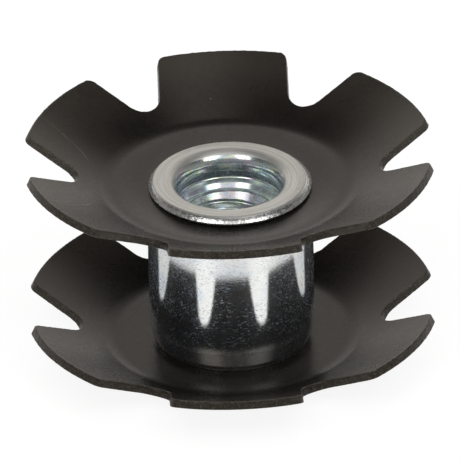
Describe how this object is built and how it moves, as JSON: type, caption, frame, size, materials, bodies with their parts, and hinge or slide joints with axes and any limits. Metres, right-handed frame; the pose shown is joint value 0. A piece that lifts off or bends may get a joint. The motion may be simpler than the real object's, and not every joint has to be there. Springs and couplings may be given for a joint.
{
  "type": "star nut",
  "caption": "Star nut: dished, tabbed spring-steel stars staked onto both ends of a plated barrel with a threaded bore.",
  "frame": {"origin": "on the thread's axis, in the plane of the lower staked rim's face that the part stands on", "axes": "+Z along the thread's axis, towards the end the bolt enters; the stars' tabs point along +Y and -Y and every 60 degrees from there"},
  "size_m": [0.0268, 0.0274, 0.0149],
  "materials": {
    "black_spring_steel": "black oxide, satin",
    "zinc_plated_steel": "bright zinc plate, clear passivated, finely scratched"
  },
  "bodies": {
    "root": {"upper_star": "black_spring_steel", "lower_star": "black_spring_steel", "threaded_barrel": "zinc_plated_steel"}
  },
  "joints": []
}
